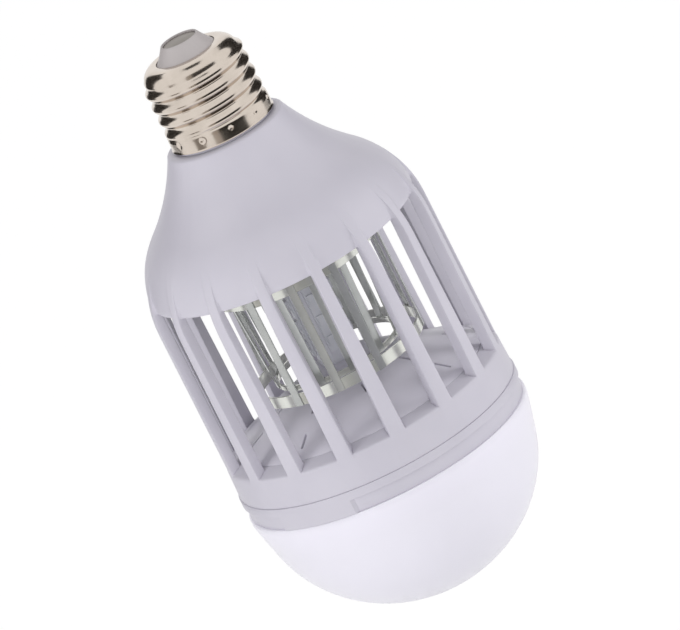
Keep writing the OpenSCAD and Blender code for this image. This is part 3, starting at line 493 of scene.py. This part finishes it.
def housingRows():  # each row: the gap's radius and depth, the slat's radius and depth, its zone
    s, c = housing, bellCurves()
    rows = []

    def both(points, zone):
        rows.extend((r, d, r, d, zone) for r, d in points)

    def slatRadius(depth):
        if depth >= s["upright"]:
            return s["bodyRadius"]
        return c["bell"][0] + math.sqrt(s["bellRound"] ** 2 - (s["upright"] - depth) ** 2)

    edge = [(s["collarRadius"] + s["collarWidth"] * math.sin(math.radians(t)),
             s["collarTop"] + s["collarHeight"] * (1 - math.cos(math.radians(t))))
            for t in (0, 15, 30, 45, 60, 75)]
    both([(s["neckFoot"], s["collarTop"])], "neck")
    both(edge, "outside")
    waistStart = s["bellAngle"] - 2 * c["bend"]
    both(arc(c["waist"], -c["waistRound"], waistStart, s["bellAngle"], 14), "outside")
    both(arc(c["bell"], s["bellRound"], s["bellAngle"], s["ridgeAngle"], 6)[1:], "outside")
    corner = 0.4
    for r, d in arc(c["shell"], c["shellRound"], s["ridgeAngle"], 1.5, 14)[1:]:
        rows.append((r, d, slatRadius(d), d, "ridge"))
    shellRadius = c["shell"][0] + c["shellRound"]
    windowTop = s["windowTop"]
    rows.append((shellRadius - 0.12, windowTop - 0.12, slatRadius(windowTop - 0.12), windowTop - 0.12, "ridge"))
    rows.append((shellRadius - corner, windowTop, slatRadius(windowTop), windowTop, "holeOut"))
    for d in (59.2, 61.2, 63.25, 66, 72, 80, 88, 95, 99.5, 101.5):
        rows.append((shellRadius, d, slatRadius(d), d, "holeOut"))

    def cone(r):
        return s["ledgeTop"] + (r - s["ledgeInner"]) * s["ledgeSlope"]

    body = s["bodyRadius"]
    rows.append((body - 0.7, cone(body - 0.7), body, cone(body - 0.7) - 0.1, "holeOut"))
    rows.append((body - 0.32, cone(body) - 0.06, body, cone(body), "foot"))
    rows.append((body - 0.1, cone(body) + 0.14, body, cone(body) + 0.2, "foot"))
    both([(body, cone(body) + 0.5), (body + 0.05, 104.2), (body + 0.15, 107.5),
          (s["bandRadius"], s["bandBottom"] - 0.2), (s["bandRadius"] - 0.06, s["bandBottom"] - 0.06),
          (s["bandRadius"] - 0.2, s["bandBottom"]), (s["bandBore"], s["bandBottom"]),
          (s["bandBore"], s["ledgeUnder"]), (s["ledgeInner"], s["ledgeUnder"]),
          (s["ledgeInner"], s["ledgeTop"] + 0.1), (s["ledgeInner"] + 0.1, s["ledgeTop"] + 0.04)], "band")
    inner = body - s["slatDepth"]
    rows.append((inner, cone(inner), inner, cone(inner), "holeIn"))
    for d in (100.8, 99.0, 95, 88, 80, 72, 66, 63.25, 61.2, 59.2):
        rows.append((inner, d, inner, d, "holeIn"))
    rows.append((inner, windowTop, inner, windowTop, "holeIn"))
    bore = shellRadius - s["wall"]
    both([(bore + corner, windowTop), (bore + 0.12, windowTop - 0.12)], "inside")
    both(arc(c["shell"], c["shellRound"] - s["wall"], 1.5, s["ridgeAngle"], 8), "inside")
    both(arc(c["bell"], s["bellRound"] - s["wall"], s["ridgeAngle"], s["bellAngle"], 4)[1:], "inside")
    both(arc(c["waist"], -(c["waistRound"] + s["wall"]), s["bellAngle"], waistStart, 8)[1:], "inside")
    under = rows[-1][1]
    both([(s["neckBore"], under), (s["neckBore"], s["neckTop"]), (s["neckRadius"], s["neckTop"]),
          (s["neckRadius"], 20.9), (s["neckFoot"], 20.9)], "neck")
    return rows


def makeHousing():
    s = housing
    rows = housingRows()
    slatPitch = 2 * math.pi / s["slats"]
    slatColumns = 11
    perSlat = slatColumns + s["gapColumns"]
    middle = slatColumns // 2
    columns = perSlat * s["slats"]
    piece, cells = ringBlank("cageHousing", columns, len(rows))

    def across(column, row):  # angle from the slat's middle, and the vertex's radius and depth
        gapRadius, gapDepth, slatRadiusHere, slatDepthHere, zone = row
        grow = (s["footWidth"] - s["topWidth"]) / (s["slatFoot"] - s["windowTop"])
        half = (s["topWidth"] + (min(slatDepthHere, s["slatFoot"]) - s["windowTop"]) * grow) / 2
        height = slatRadiusHere - gapRadius
        edge = min(s["edge"], 0.6 * height) if zone in ("ridge", "foot") else 0
        if zone == "holeOut":
            edge = s["edge"]
        if zone == "holeIn":
            edge = -0.25
        keep = max(abs(edge), 0.25)
        fillet = min(s["fillet"], 0.4 * height) if zone in ("ridge",) else 0
        side = abs(column - middle)
        table = {
            0: (0, slatRadiusHere), 1: (0.5 * (half - keep), slatRadiusHere),
            2: (half - keep, slatRadiusHere), 3: (half - 0.29 * keep, slatRadiusHere - 0.29 * edge),
            4: (half, slatRadiusHere - edge),
            5: (half + (0.06 if zone == "ridge" else 0.03), gapRadius + fillet),
        }
        if zone == "holeOut":
            table[5] = (half, shellRadius)
        if zone == "holeIn":
            table[5] = (half, slatRadiusHere + 0.5)
            if slatDepthHere in (rowTopIn, rowFootIn):
                table[3] = (half - 0.29 * keep, slatRadiusHere)
                table[4] = (half, slatRadiusHere)
                table[5] = (half + 0.02, slatRadiusHere + 0.02)
        x, radius = table[side]
        share = (radius - gapRadius) / height if abs(height) > 1e-6 else 1
        depth = gapDepth + (slatDepthHere - gapDepth) * min(1, max(0, share))
        if zone in ("holeOut", "holeIn"):
            depth = slatDepthHere
        x *= min(1, radius / 25)
        return math.copysign(1, column - middle) * math.asin(x / radius), radius, depth

    curves = bellCurves()
    shellRadius = curves["shell"][0] + curves["shellRound"]
    holeIn = [row[3] for row in rows if row[4] == "holeIn"]
    rowTopIn, rowFootIn = min(holeIn), max(holeIn)
    places = []
    for row in rows:
        line = []
        edgeAngle = across(slatColumns - 1, row)[0]
        last = edgeAngle + s["fillet"] / max(row[0], 1) * min(1, row[0] / 25)
        for column in range(perSlat):
            if column < slatColumns:
                line.append(across(column, row))
            else:
                t = (column - slatColumns) / (s["gapColumns"] - 1)
                angle = last + (slatPitch - 2 * last) * t
                line.append((angle, row[0], row[1]))
        places.append(line)
    for vertex, (row, column) in zip(piece.data.vertices, cells):
        sector, local = divmod(column, perSlat)
        angle, radius, depth = places[row][local]
        angle += front + sector * slatPitch
        vertex.co = Vector((math.cos(angle) * radius, math.sin(angle) * radius, -depth)) * mm

    # The faces of the windows go, and each window's outer and inner loops are bridged
    zones = [row[4] for row in rows]
    selectOnly(piece)
    bpy.ops.object.mode_set(mode="EDIT")
    bpy.ops.mesh.select_mode(type="FACE")
    bpy.ops.mesh.select_all(action="DESELECT")
    mesh = bmesh.from_edit_mesh(piece.data)

    def inWindow(vertex):
        row, column = cells[vertex.index]
        return zones[row] in ("holeOut", "holeIn") and (
            column % perSlat >= slatColumns - 1 or column % perSlat == 0)

    for face in mesh.faces:
        sameZone = len({zones[cells[v.index][0]] for v in face.verts}) == 1
        if sameZone and all(inWindow(v) for v in face.verts):
            face.select_set(True)
    bmesh.update_edit_mesh(piece.data)
    bpy.ops.mesh.delete(type="FACE")
    bpy.ops.mesh.select_mode(type="EDGE")
    for sector in range(s["slats"]):
        bpy.ops.mesh.select_all(action="DESELECT")
        mesh = bmesh.from_edit_mesh(piece.data)
        for edge in mesh.edges:
            if edge.is_boundary:
                centre = (edge.verts[0].co + edge.verts[1].co) / 2
                angle = (math.atan2(centre.y, centre.x) - front) % (2 * math.pi)
                if int(angle / slatPitch) == sector:
                    edge.select_set(True)
        bmesh.update_edit_mesh(piece.data)
        bpy.ops.mesh.bridge_edge_loops()
    bpy.ops.mesh.select_mode(type="VERT")
    bpy.ops.object.mode_set(mode="OBJECT")
    cleanUp(piece, merge=0.001)
    smooth(piece, 34, evenFaces=True)
    return piece


# Lamp ring: spigot, shelf and the grooved outside, whose groove stops at two lands
lampRing = {
    "radius": 37.45, "grooveRadius": 36.8, "top": 110.95, "grooveTop": 113.25, "bottom": 116.95,
    "landWidth": 35.6, "landAt": 45, "columns": 720,
}


def makeLampRing():
    s = lampRing
    grooveFillet = 0.12
    rows = [  # radius, depth, and how far the row follows the groove
        (34.7, s["top"], 0), (s["radius"] - 0.18, s["top"], 0), (s["radius"] - 0.05, s["top"] + 0.05, 0),
        (s["radius"], s["top"] + 0.18, 0), (s["radius"], s["grooveTop"] - 0.3, 0),
        (s["radius"], s["grooveTop"] - 0.15, 0), (s["radius"], s["grooveTop"] - 0.04, 0.1),
        (s["radius"], s["grooveTop"], 0.3), (s["radius"], s["grooveTop"] + 0.02, 0.85),
        (s["radius"], s["grooveTop"] + grooveFillet, 1), (s["radius"], s["bottom"] - 0.2, 1),
        (s["radius"] - 0.05, s["bottom"] - 0.05, 1), (s["radius"] - 0.18, s["bottom"], 1),
        (35.15, s["bottom"], 0), (35.15, 113.2, 0), (31.0, 113.2, 0), (31.0, 111.6, 0),
        (32.9, 111.6, 0), (32.9, 104.78, 0), (34.7, 104.78, 0),
    ]
    piece, cells = ringBlank("lampRing", s["columns"], len(rows))
    for vertex, (row, column) in zip(piece.data.vertices, cells):
        radius, depth, follow = rows[row]
        angle = 360 * column / s["columns"]
        fromLand = abs((angle - s["landAt"] + 90) % 180 - 90)
        outOfLand = blendIn((s["landWidth"] / 2 - 0.3, s["landWidth"] / 2 + 0.3), fromLand)
        radius -= (s["radius"] - s["grooveRadius"]) * follow * outOfLand
        a = math.radians(angle)
        vertex.co = Vector((math.cos(a) * radius, math.sin(a) * radius, -depth)) * mm
    cleanUp(piece)
    smooth(piece, 30)
    return piece


# Diffuser: the opal dome with its lip and the spigot inside the ring
diffuser = {
    "lip": 37.4, "lipTop": 116.95, "lipBottom": 119.95, "dome": 36.2, "domeHeight": 34.2,
    "wall": 1.5, "spigot": 35.05, "spigotTop": 114.8, "ease": 6, "sides": 256,
}


def makeDiffuser():
    s = diffuser
    inner, innerHeight = s["dome"] - s["wall"], s["domeHeight"] - s["wall"]
    steps = 44
    outline = []
    for i in range(steps, -1, -2):  # up the inside from the bottom of the dome
        a = math.pi / 2 * i / steps
        outline.append((max(0.01, inner * math.cos(a)), s["lipBottom"] + innerHeight * math.sin(a)))
    outline += [
        (s["spigot"] - s["wall"], s["lipTop"]), (s["spigot"] - s["wall"], s["spigotTop"]),
        (s["spigot"], s["spigotTop"]), (s["spigot"], s["lipTop"]), (s["lip"] - 0.2, s["lipTop"]),
        (s["lip"] - 0.06, s["lipTop"] + 0.06), (s["lip"], s["lipTop"] + 0.2),
        (s["lip"], s["lipTop"] + 1.6),
    ]
    for i in range(3, steps + 1):  # the lip eases into the dome
        a = math.pi / 2 * i / steps
        depth = s["lipBottom"] + s["domeHeight"] * math.sin(a)
        ease = 1 - blendIn((s["lipTop"] + 1.6, s["lipBottom"] + s["ease"]), depth)
        radius = s["dome"] * math.cos(a)
        outline.append((max(0.01, radius + (s["lip"] - s["dome"]) * ease), depth))
    dome = turn("diffuserDome", outline, s["sides"])
    cleanUp(dome, merge=0.02)
    smooth(dome, 32)
    return dome


# Electric grids: a thin band top and bottom, with punched strips spot welded on
outerGrid = {
    "ring": 22.1, "wall": 0.6, "top": 54.2, "topHeight": 9.75, "foot": 91.45, "footHeight": 3.1,
    "bars": 12, "turn": 15, "barWidth": 2.1, "barThick": 0.4, "sink": 0.1,
}
innerGrid = {
    "ring": 18.4, "footRing": 16.5, "wall": 0.6, "top": 54.2, "topHeight": 5.8, "foot": 89.85,
    "footHeight": 1.5, "bars": 12, "turn": 0, "barWidth": 2.1, "barThick": 0.4, "sink": 0.1,
}


def makeBand(name, outer, wall, top, bottom):
    soft = 0.08
    outline = [
        (outer - wall + soft, top), (outer - soft, top), (outer, top + soft), (outer, bottom - soft),
        (outer - soft, bottom), (outer - wall + soft, bottom), (outer - wall, bottom - soft),
        (outer - wall, top + soft), (outer - wall + soft, top),
    ]
    band = turn(name, outline, 192)
    cleanUp(band)
    return band


def makeBar(name, width, thick, top, bottom):
    bpy.ops.object.select_all(action="DESELECT")
    bpy.ops.mesh.primitive_cube_add(size=1)
    bar = bpy.context.object
    bar.name = name
    bar.scale = (thick * mm, width * mm, (bottom - top) * mm)
    bar.location = (0, 0, -(top + bottom) / 2 * mm)
    applyPlace(bar)
    roundEdges(bar, 0.09, 2)
    return bar


def makeGrid(name, s):
    foot = s.get("footRing", s["ring"])
    top = makeBand(name + "Top", s["ring"], s["wall"], s["top"], s["top"] + s["topHeight"])
    bottom = makeBand(name + "Foot", foot, s["wall"], s["foot"] - s["footHeight"], s["foot"])
    length = s["foot"] - s["top"]
    lean = 0
    if foot != s["ring"]:
        length -= s["wall"]
        lean = math.atan2(s["ring"] - foot, length)
    bar = makeBar(name + "Bar", s["barWidth"], s["barThick"], 0, length)
    bar.data.transform(Matrix.Rotation(lean, 4, "Y"))
    out = s["ring"] + s["barThick"] / 2 - s["sink"]
    drop = s["top"] + (s["wall"] / 2 if lean else 0)
    bar.data.transform(Matrix.Translation(Vector((out, 0, -drop)) * mm))
    bar.data.materials.append(barMetal)
    for ring in (top, bottom):
        ring.data.materials.append(finishes["grid_metal"])
    bars = copyRound(bar, s["bars"], front + math.radians(s["turn"]))
    grid = joinPieces([top, bottom, *bars], name)
    smooth(grid, 40, evenFaces=True)
    return grid


# Lamp strips on the post: four boards, each with a row of emitters sunk a little in the middle
strips = {
    "face": 4.7, "thick": 0.8, "width": 3.4, "top": 57.5, "length": 28.97, "count": 4,
    "emitters": 5, "emitterWidth": 2.6, "emitterThick": 0.8, "edge": 0.15, "rim": 0.35,
}


def makeStrips():
    s = strips
    bpy.ops.object.select_all(action="DESELECT")
    bpy.ops.mesh.primitive_cube_add(
        size=1, scale=(s["thick"] * mm, s["width"] * mm, s["length"] * mm),
        location=((s["face"] + s["thick"] / 2) * mm, 0, -(s["top"] + s["length"] / 2) * mm))
    board = bpy.context.object
    applyPlace(board)
    roundEdges(board, s["edge"])
    boards = joinPieces(copyRound(board, s["count"]), "stripBoards")
    smooth(boards, 40, evenFaces=True)

    pitch = s["length"] / s["emitters"]
    inside = s["face"] + s["thick"]
    bpy.ops.object.select_all(action="DESELECT")
    bpy.ops.mesh.primitive_cube_add(
        size=1, scale=(s["emitterThick"] * mm, s["emitterWidth"] * mm, s["emitterWidth"] * mm),
        location=((inside + s["emitterThick"] / 2) * mm, 0, -(s["top"] + pitch / 2) * mm))
    emitter = bpy.context.object
    applyPlace(emitter)
    bpy.ops.object.mode_set(mode="EDIT")
    bpy.ops.mesh.select_mode(type="FACE")
    bpy.ops.mesh.select_all(action="DESELECT")
    mesh = bmesh.from_edit_mesh(emitter.data)
    for face in mesh.faces:
        if face.normal.x > 0.9:
            face.select_set(True)
    bmesh.update_edit_mesh(emitter.data)
    bpy.ops.mesh.inset(thickness=s["rim"] * mm)
    bpy.ops.transform.translate(value=(-0.1 * mm, 0, 0))
    bpy.ops.mesh.select_mode(type="VERT")
    bpy.ops.object.mode_set(mode="OBJECT")
    roundEdges(emitter, 0.08, 2, 50)
    column = [emitter]
    for i in range(1, s["emitters"]):
        selectOnly(emitter)
        bpy.ops.object.duplicate(linked=False)
        copy = bpy.context.object
        copy.data.transform(Matrix.Translation((0, 0, -i * pitch * mm)))
        column.append(copy)
    column = joinPieces(column, "emitterColumn")
    emitters = joinPieces(copyRound(column, s["count"]), "stripEmitters")
    smooth(emitters, 40, evenFaces=True)
    return boards, emitters


# Chamber floor: the slope that sheds insects, its hub, flange and two rings of slits
chamberFloor = {
    "bore": 4.3, "hub": 7.3, "hubDepth": 89.77, "edge": 32.9, "flange": 34.7, "flangeTop": 103.28,
    "foot": 104.78, "thick": 1.9, "slits": 8, "slitWidth": 0.8,
    "slitRuns": ((25.1, 4.4), (16.0, 3.5)), "sides": 192,
}


def makeChamberFloor():
    s = chamberFloor

    def cone(radius):
        return housing["ledgeTop"] - (housing["ledgeInner"] - radius) * housing["ledgeSlope"]

    skirt = s["edge"] - s["thick"]
    outline = [
        (s["bore"], s["hubDepth"]), (s["hub"] - 0.5, s["hubDepth"]), (s["hub"] + 0.3, s["hubDepth"] + 0.18)]
    rows = 8
    for i in range(rows + 1):
        radius = s["hub"] + 1 + (s["edge"] - s["hub"] - 1.1) * i / rows
        outline.append((radius, cone(radius)))
    outline += [
        (s["edge"], cone(s["edge"]) + 0.06), (s["edge"], s["flangeTop"]), (s["flange"], s["flangeTop"]),
        (s["flange"], s["foot"]), (skirt, s["foot"]), (skirt, cone(skirt) + s["thick"]),
        (s["hub"], s["hubDepth"] + s["thick"]), (s["bore"], s["hubDepth"] + s["thick"]),
        (s["bore"], s["hubDepth"]),
    ]
    plate = turn("chamberFloor", outline, s["sides"])
    cleanUp(plate)
    cutters = []
    for start, length in s["slitRuns"]:
        bpy.ops.object.select_all(action="DESELECT")
        bpy.ops.mesh.primitive_cube_add(
            size=1, location=((start + length / 2) * mm, 0, -97 * mm),
            scale=(length * mm, s["slitWidth"] * mm, 16 * mm))
        cutter = bpy.context.object
        applyPlace(cutter)
        cutters += copyRound(cutter, s["slits"], front)
    cutter = joinPieces(cutters, "slitCutter")
    cut = plate.modifiers.new("slits", "BOOLEAN")
    cut.object = cutter
    cut.solver = "EXACT"
    applyModifiers(plate)
    bpy.data.objects.remove(cutter)
    smooth(plate, 30)
    plate.data.materials.append(floorPlasticPaintedLight)
    return plate


capPiece = makeCap()
print("cap", len(capPiece.data.polygons))
insulatorPiece = makeInsulator()
contactPiece = makeContact()
housingPiece = makeHousing()
print("housing", len(housingPiece.data.polygons))
lampRingPiece = makeLampRing()
diffuserPiece = makeDiffuser()
outerGridPiece = makeGrid("outerGrid", outerGrid)
innerGridPiece = makeGrid("innerGrid", innerGrid)
stripPiece, emitterPiece = makeStrips()
floorPiece = makeChamberFloor()
print("pieces modelled")

finishPiece(capPiece, "cap_nickel", "cap_shell")
finishPiece(insulatorPiece, "insulator_grey", "cap_insulator")
finishPiece(contactPiece, "contact_metal", "end_contact")
finishPiece(housingPiece, "cage_plastic", "cage_housing")
finishPiece(lampRingPiece, "cage_plastic", "lamp_ring")
finishPiece(diffuserPiece, "diffuser_opal", "diffuser")
finishPiece(outerGridPiece, "grid_metal", "outer_grid")
finishPiece(innerGridPiece, "grid_metal", "inner_grid")
finishPiece(floorPiece, "cage_plastic", "chamber_floor")
finishPiece(stripPiece, "strip_board", "uv_boards")
finishPiece(emitterPiece, "emitter_face", "uv_emitters")

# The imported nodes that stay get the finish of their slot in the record
nodeFinish = {
    "chamber_ceiling": "cage_plastic", "uv_post": "post_plastic",
    "post_nuts": "screw_steel",
    "lamp_board": "lamp_board_metal", "white_emitters": "emitter_face",
    "driver_board": "green_board", "bulk_capacitor": "capacitor_sleeve",
    "transformer_core": "ferrite", "transformer_coil": "winding_tape",
    "film_capacitor": "film_red", "fuse_resistor": "resistor_green", "rectifier": "black_epoxy",
    "driver_chip": "black_epoxy", "disc_capacitors": "disc_blue",
    "high_voltage_diodes": "black_epoxy", "live_lead": "wire_red", "neutral_lead": "wire_black",
    "grid_leads": "wire_red", "lamp_leads": "wire_white", "ceiling_screws": "screw_steel",
    "driver_screws": "screw_steel", "lamp_screws": "screw_steel",
}
for node, slot in nodeFinish.items():
    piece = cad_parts[node]
    piece.data.materials.clear()
    piece.data.materials.append(finishes[slot])
print("packed nodes finished")

# Studio: pale floor well below the hanging bulb, soft light all round, dark card by the camera
studio = {
    "floorDepth": 420, "floorSize": 6000, "worldLight": 0.63, "sideSize": 500, "sidePower": 3.6,
    "frontPower": 3.2,
}


def makeWorld():
    world = bpy.data.worlds.new("studioWorld")
    bpy.context.scene.world = world
    world.use_nodes = True
    nodes, links = world.node_tree.nodes, world.node_tree.links
    light = nodes["Background"]
    light.inputs["Color"].default_value = (1, 1, 1, 1)
    light.inputs["Strength"].default_value = studio["worldLight"]
    seen = nodes.new("ShaderNodeBackground")
    seen.inputs["Color"].default_value = (1, 1, 1, 1)
    seen.inputs["Strength"].default_value = 1
    path = nodes.new("ShaderNodeLightPath")
    either = nodes.new("ShaderNodeMath")
    either.operation = "MAXIMUM"
    links.new(path.outputs["Is Camera Ray"], either.inputs[0])
    links.new(path.outputs["Is Glossy Ray"], either.inputs[1])
    any3 = nodes.new("ShaderNodeMath")
    any3.operation = "MAXIMUM"
    links.new(either.outputs["Value"], any3.inputs[0])
    links.new(path.outputs["Is Transmission Ray"], any3.inputs[1])
    mix = nodes.new("ShaderNodeMixShader")
    links.new(any3.outputs["Value"], mix.inputs["Fac"])
    links.new(light.outputs["Background"], mix.inputs[1])
    links.new(seen.outputs["Background"], mix.inputs[2])
    links.new(mix.outputs["Shader"], nodes["World Output"].inputs["Surface"])


def makeFloor():
    bpy.ops.object.select_all(action="DESELECT")
    bpy.ops.mesh.primitive_plane_add(
        size=studio["floorSize"] * mm, location=(0, 0, -studio["floorDepth"] * mm))
    floor = bpy.context.object
    floor.name = "floor"
    material, shader, nodes, links = newMaterial("paleFloor")
    shader.inputs["Base Color"].default_value = (0.85, 0.85, 0.86, 1)
    shader.inputs["Roughness"].default_value = 0.9
    glow = nodes.new("ShaderNodeEmission")
    glow.inputs["Strength"].default_value = 1.06
    path = nodes.new("ShaderNodeLightPath")
    either = nodes.new("ShaderNodeMath")
    either.operation = "MAXIMUM"
    links.new(path.outputs["Is Camera Ray"], either.inputs[0])
    links.new(path.outputs["Is Glossy Ray"], either.inputs[1])
    share = nodes.new("ShaderNodeMath")
    share.operation = "MULTIPLY"
    share.inputs[1].default_value = 0.88
    links.new(either.outputs["Value"], share.inputs[0])
    mix = nodes.new("ShaderNodeMixShader")
    links.new(share.outputs["Value"], mix.inputs["Fac"])
    links.new(shader.outputs["BSDF"], mix.inputs[1])
    links.new(glow.outputs["Emission"], mix.inputs[2])
    below = nodes.new("ShaderNodeNewGeometry")  # from below the floor lets the camera look through
    clear = nodes.new("ShaderNodeBsdfTransparent")
    side = nodes.new("ShaderNodeMixShader")
    links.new(below.outputs["Backfacing"], side.inputs["Fac"])
    links.new(mix.outputs["Shader"], side.inputs[1])
    links.new(clear.outputs["BSDF"], side.inputs[2])
    links.new(side.outputs["Shader"], nodes["Material Output"].inputs["Surface"])
    floor.data.materials.append(material)


def makeLight(name, place, power, size):
    lamp = bpy.data.lights.new(name, "AREA")
    lamp.energy = power
    lamp.shape = "DISK"
    lamp.size = size * mm
    light = bpy.data.objects.new(name, lamp)
    bpy.context.scene.collection.objects.link(light)
    light.location = Vector(place) * mm
    aim = Vector((0, 0, -80)) * mm - light.location
    light.rotation_mode = "QUATERNION"
    light.rotation_quaternion = aim.to_track_quat("-Z", "Y")
    light.visible_glossy = False
    return light


makeWorld()
makeFloor()
makeLight("leftLight", (-1050, -300, 170), studio["sidePower"], studio["sideSize"])
makeLight("rightLight", (1050, -200, 170), studio["sidePower"], studio["sideSize"])
makeLight("frontLight", (-100, -1150, 40), studio["frontPower"], studio["sideSize"])

# Camera: a long lens, rolled so that the bulb leans to the left as it was photographed
view = {
    "azimuth": -7.0, "elevation": 16.7, "roll": -26.8, "lens": 900, "pixelsPerMm": 4.1,
    "photoWidth": 680, "sensor": 36, "aimDepth": 80.6, "aimRight": 4.8,
}


def makeCamera():
    a, e = math.radians(view["azimuth"]), math.radians(view["elevation"])
    back = Vector((math.sin(a) * math.cos(e), -math.cos(a) * math.cos(e), math.sin(e)))
    right = Vector((math.cos(a), math.sin(a), 0))
    aim = Vector((0, 0, -view["aimDepth"])) + right * view["aimRight"]
    distance = view["photoWidth"] * view["lens"] / (view["sensor"] * view["pixelsPerMm"])
    camera = bpy.data.objects.new("camera", bpy.data.cameras.new("camera"))
    bpy.context.scene.collection.objects.link(camera)
    camera.data.lens = view["lens"]
    camera.data.sensor_width = view["sensor"]
    camera.data.clip_start = 0.1
    camera.data.clip_end = 20
    camera.location = (aim + back * distance) * mm
    camera.rotation_mode = "QUATERNION"
    level = (-back).to_track_quat("-Z", "Y")
    camera.rotation_quaternion = level @ Quaternion((0, 0, 1), math.radians(view["roll"]))
    bpy.context.scene.camera = camera


makeCamera()

# Dark cards that only glossy surfaces see: the unlit parts of the room round the camera
cards = {  # bearing from the camera to the right, height, distance, width, height and tone
    "frontCard": (20, -2, 880, 1050, 900, 0.03),
    "surroundCard": (12, -4, 960, 1500, 1150, 0.46),
    "leftCard": (-134, 15, 1200, 860, 1500, 0.03),
    "rightCard": (130, 15, 1200, 900, 1500, 0.03),
    "topCard": (0, 83, 1000, 420, 420, 0.03),
    "greyCard": (-60, -14, 1000, 360, 500, 0.3),
}


def makeCards():
    for name, (bearing, height, distance, wide, tall, tone) in cards.items():
        material, shader, nodes, links = newMaterial(name)
        shader.inputs["Base Color"].default_value = (tone, 0.9 * tone, 0.8 * tone, 1)
        shader.inputs["Roughness"].default_value = 1
        a, e = math.radians(view["azimuth"] + bearing), math.radians(height)
        out = Vector((math.sin(a) * math.cos(e), -math.cos(a) * math.cos(e), math.sin(e)))
        bpy.ops.object.select_all(action="DESELECT")
        bpy.ops.mesh.primitive_plane_add(size=1)
        card = bpy.context.object
        card.name = name
        card.scale = (wide * mm, tall * mm, 1)
        card.rotation_mode = "QUATERNION"
        card.rotation_quaternion = out.to_track_quat("Z", "Y")
        card.location = out * distance * mm
        card.data.materials.append(material)
        card.visible_camera = False
        card.visible_diffuse = False
        card.visible_transmission = False
        card.visible_shadow = False


makeCards()
bpy.context.scene.view_settings.view_transform = "Standard"
print("studio ready")
